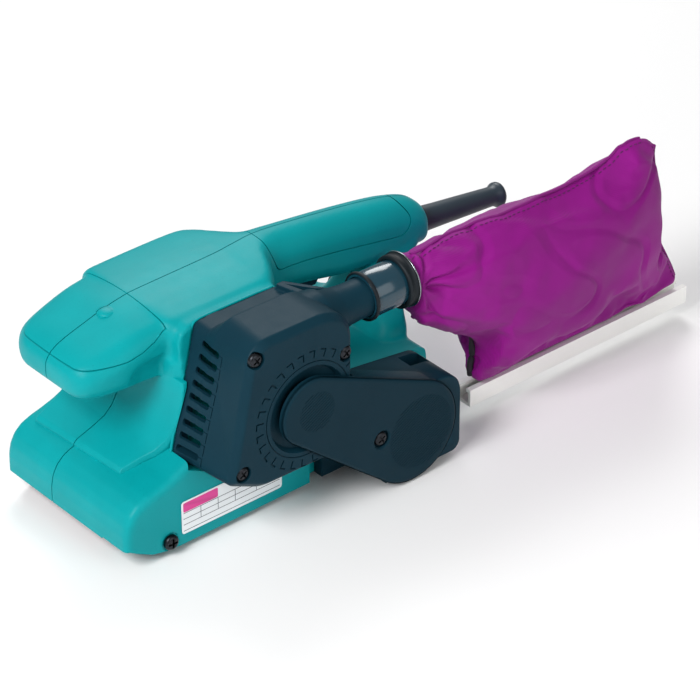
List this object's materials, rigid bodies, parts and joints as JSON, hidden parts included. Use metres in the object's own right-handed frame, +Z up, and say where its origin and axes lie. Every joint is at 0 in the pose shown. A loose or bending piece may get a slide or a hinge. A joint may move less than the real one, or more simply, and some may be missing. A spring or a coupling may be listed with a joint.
{
  "type": "handheld belt sander",
  "caption": "Compact electric belt sander with front grip, D-handle, side drive-belt cover and a cloth dust bag on a swivelling nozzle ring.",
  "frame": {"origin": "centre of the sanding belt's flat sole, on the work surface", "axes": "+X towards the cord end, -Y towards the drive-belt cover, +Z up away from the work"},
  "size_m": [0.4145, 0.1435, 0.1405],
  "materials": {
    "teal_plastic": "moulded, lightly satin",
    "grip_plastic": "moulded, lightly satin",
    "black_plastic": "moulded, matt blue-black",
    "sleeve_plastic": "glossy tube",
    "rubber": "moulded rubber",
    "abrasive_cloth": "abrasive grain on cloth",
    "bag_cloth": "woven cotton",
    "steel": "turned",
    "chrome": "plated",
    "aluminium": "die cast",
    "black_steel": "blackened",
    "lamination": "stacked laminations",
    "copper": "enamelled winding",
    "cork": "pressed cork",
    "carbon": "carbon",
    "label_film": null,
    "rail_plastic": "extruded"
  },
  "bodies": {
    "root": {"base_frame": "aluminium", "belt_cover": "black_plastic", "belt_cover_screw": "black_steel", "brush_1": "carbon", "brush_2": "carbon", "brush_holder_1": "aluminium", "brush_holder_2": "aluminium", "cord_guard": "rubber", "cork_pad": "cork", "drive_bearing_inner": "steel", "drive_bearing_outer": "steel", "drive_belt": "rubber", "fan_cover": "black_plastic", "fan_cover_screw_1": "black_steel", "fan_cover_screw_2": "black_steel", "fan_cover_screw_3": "black_steel", "field_coil_1": "copper", "field_coil_2": "copper", "grip_pad_left": "grip_plastic", "grip_pad_right": "grip_plastic", "handle_pad_left": "grip_plastic", "handle_pad_right": "grip_plastic", "housing_screw_1": "black_steel", "housing_screw_2": "black_steel", "housing_screw_3": "black_steel", "housing_screw_4": "black_steel", "housing_screw_5": "black_steel", "left_housing": "teal_plastic", "motor_bearing_front": "steel", "motor_bearing_rear": "steel", "rating_label": "label_film", "rear_guard": "black_plastic", "right_housing": "teal_plastic", "sanding_belt": "abrasive_cloth", "shoe_plate": "steel", "stator_core": "lamination", "switch_body": "black_plastic", "tension_spring": "steel"},
    "motor_rotor": {"armature_shaft": "steel", "armature_core": "lamination", "commutator": "copper", "cooling_fan": "black_plastic", "motor_pulley": "steel"},
    "drive_roller_set": {"drive_roller": "rubber", "drive_shaft": "steel", "drive_pulley": "aluminium"},
    "tension_slide": {"tension_rod": "steel"},
    "yoke_body": {"yoke": "steel", "idler_axle": "steel"},
    "idler": {"idler_roller": "aluminium"},
    "lever": {"tension_lever": "steel"},
    "tracking": {"tracking_screw": "black_steel"},
    "trigger_body": {"trigger": "black_plastic"},
    "lock_body": {"lock_button": "black_plastic"},
    "sleeve_body": {"bag_sleeve": "sleeve_plastic", "bag_ring": "rubber", "clamp_ring": "chrome"},
    "bag_body": {"dust_bag": "bag_cloth"},
    "rail_body": {"bag_rail": "rail_plastic"}
  },
  "joints": [
    {"name": "drive_spin", "type": "hinge", "parent": "root", "child": "drive_roller_set", "pos_m": [0.08225, 0, 0.025], "axis": [0, 1, 0], "continuous": true},
    {"name": "motor_spin", "type": "hinge", "parent": "root", "child": "motor_rotor", "pos_m": [0, 0, 0.078], "axis": [0, 1, 0], "continuous": true},
    {"name": "lever_turn", "type": "hinge", "parent": "root", "child": "lever", "pos_m": [-0.02, 0.04, 0.015], "axis": [0, -1, 0], "range_deg": [0, 50]},
    {"name": "tension_slide_x", "type": "slide", "parent": "root", "child": "tension_slide", "axis": [1, 0, 0], "range_m": [0, 0.006], "deforming": ["tension_spring"]},
    {"name": "tracking_turn", "type": "hinge", "parent": "root", "child": "tracking", "pos_m": [-0.074, -0.069, 0.009], "axis": [0, -1, 0], "range_deg": [-180, 180]},
    {"name": "yoke_tilt", "type": "hinge", "parent": "tension_slide", "child": "yoke_body", "pos_m": [-0.063, 0, 0.0145], "axis": [0, 0, 1], "range_deg": [-0.6, 0.6]},
    {"name": "idler_spin", "type": "hinge", "parent": "yoke_body", "child": "idler", "pos_m": [-0.0842, 0, 0.0145], "axis": [0, 1, 0], "continuous": true},
    {"name": "trigger_press", "type": "hinge", "parent": "root", "child": "trigger_body", "pos_m": [0.057, 0, 0.096], "axis": [0, -1, 0], "range_deg": [0, 5], "stiffness_Nm_per_rad": 0.6, "springref_deg": -11.46},
    {"name": "lock_press", "type": "slide", "parent": "root", "child": "lock_body", "axis": [0, -1, 0], "range_m": [0, 0.003], "stiffness_N_per_m": 150, "springref_m": -0.004},
    {"name": "sleeve_pull", "type": "slide", "parent": "root", "child": "sleeve_body", "axis": [1, 0, 0], "range_m": [0, 0.03]},
    {"name": "bag_swivel", "type": "hinge", "parent": "sleeve_body", "child": "bag_body", "pos_m": [0.087, -0.07, 0.1125], "axis": [1, 0, 0], "range_deg": [-20, 20]},
    {"name": "rail_slide", "type": "slide", "parent": "bag_body", "child": "rail_body", "axis": [1, 0, 0], "range_m": [0, 0.174]}
  ],
  "couplings": [
    {"joint": "motor_spin", "follows": "drive_spin", "ratio": 1.9062},
    {"joint": "idler_spin", "follows": "drive_spin", "ratio": 1.7895},
    {"joint": "lever_turn", "follows": "tension_slide_x", "rad_per_m": 145.43},
    {"joint": "tracking_turn", "follows": "yoke_tilt", "ratio": 299.97}
  ]
}
